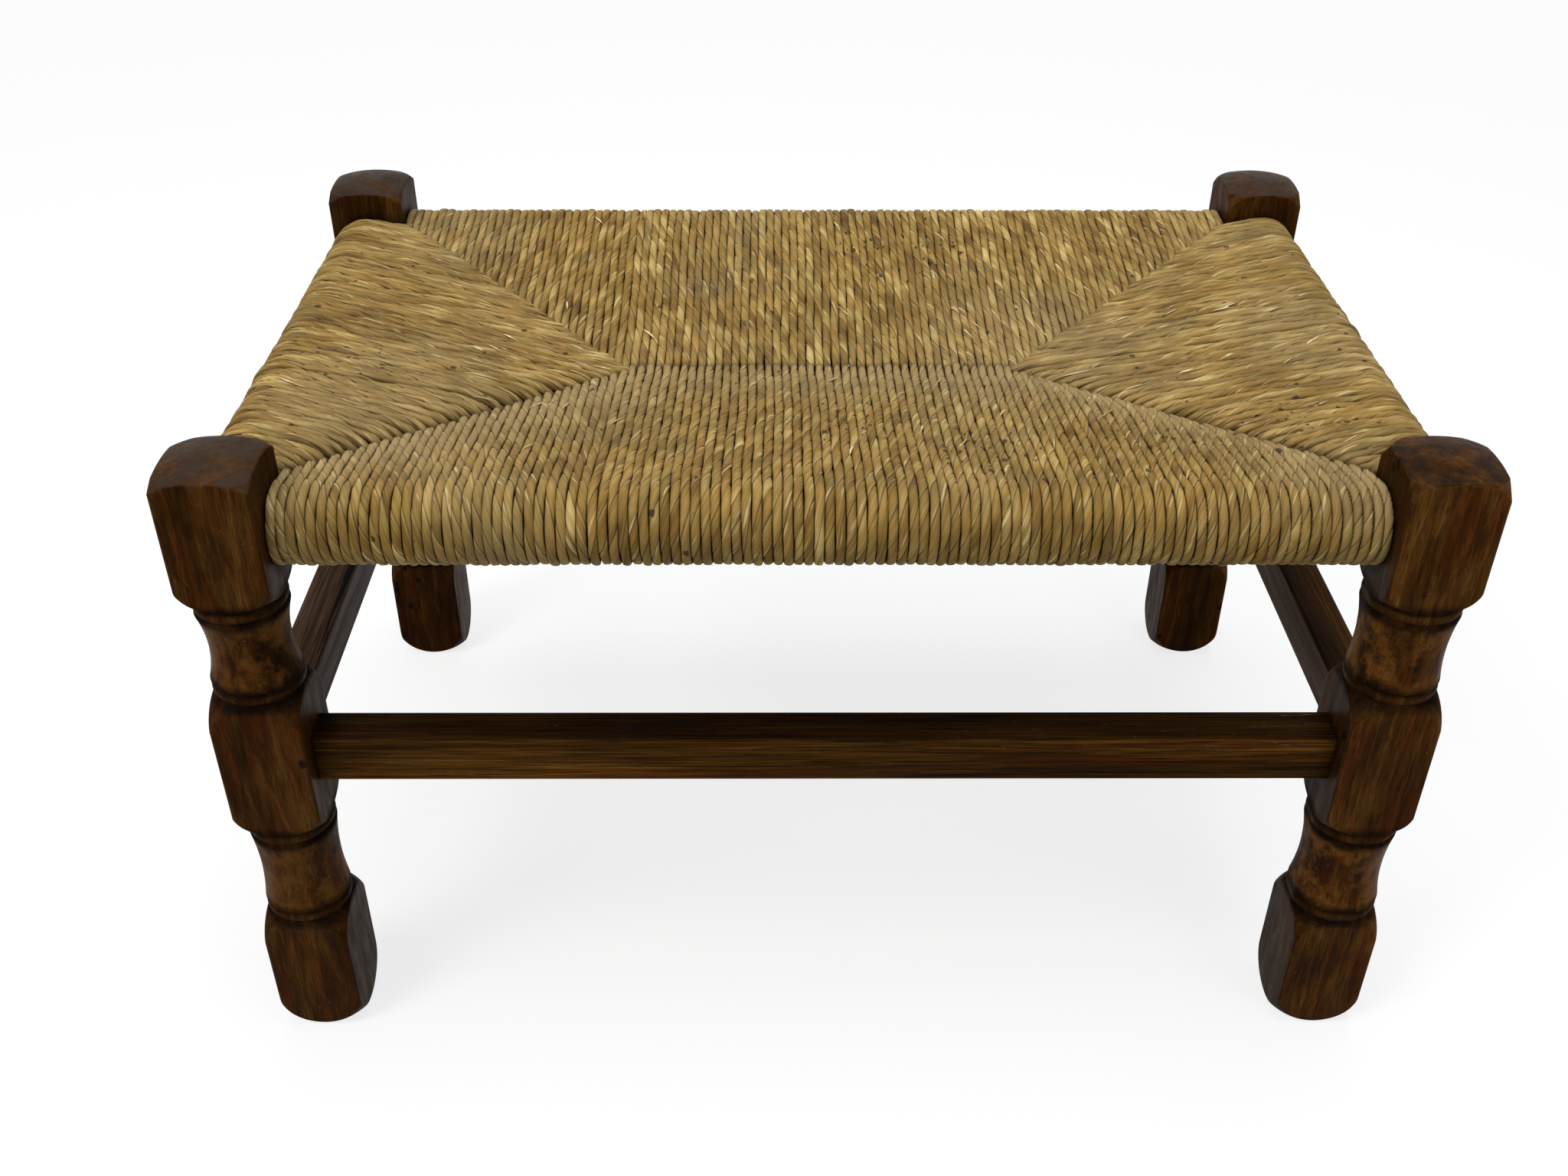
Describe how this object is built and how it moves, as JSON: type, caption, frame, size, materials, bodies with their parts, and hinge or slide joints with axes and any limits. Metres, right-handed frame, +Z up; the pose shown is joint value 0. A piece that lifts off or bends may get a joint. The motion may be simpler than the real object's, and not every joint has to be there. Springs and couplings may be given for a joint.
{
  "type": "footstool",
  "caption": "Low rectangular footstool: dark turned wooden legs with plain stretchers, and a sagging woven seat of twisted rush cord wrapped over round rails.",
  "frame": {"origin": "middle of the stool's footprint, on the floor", "axes": "+X to the right along the longer side as seen from the front, +Y to the back, +Z up"},
  "size_m": [0.46, 0.298, 0.273],
  "materials": {
    "leg_wood": "dark brown stain over oak-like grain, waxed, worn lighter on the turnings",
    "stretcher_wood": "dark brown stain over straight oak grain, satin",
    "rail_wood": "plain unfinished wood, hidden under the rush",
    "rush": "dried rush leaves twisted to a cord, straw to olive tan with brown flecks, matt to satin",
    "stuffing": "loose dry rush offcuts, matt"
  },
  "bodies": {
    "root": {"front_left_leg": "leg_wood", "front_right_leg": "leg_wood", "back_left_leg": "leg_wood", "back_right_leg": "leg_wood", "front_seat_rail": "rail_wood", "back_seat_rail": "rail_wood", "left_seat_rail": "rail_wood", "right_seat_rail": "rail_wood", "front_stretcher": "stretcher_wood", "back_stretcher": "stretcher_wood", "left_stretcher": "stretcher_wood", "right_stretcher": "stretcher_wood", "front_rush_panel": "rush", "back_rush_panel": "rush", "left_rush_panel": "rush", "right_rush_panel": "rush", "front_stuffing": "stuffing", "back_stuffing": "stuffing", "left_stuffing": "stuffing", "right_stuffing": "stuffing"}
  },
  "joints": []
}
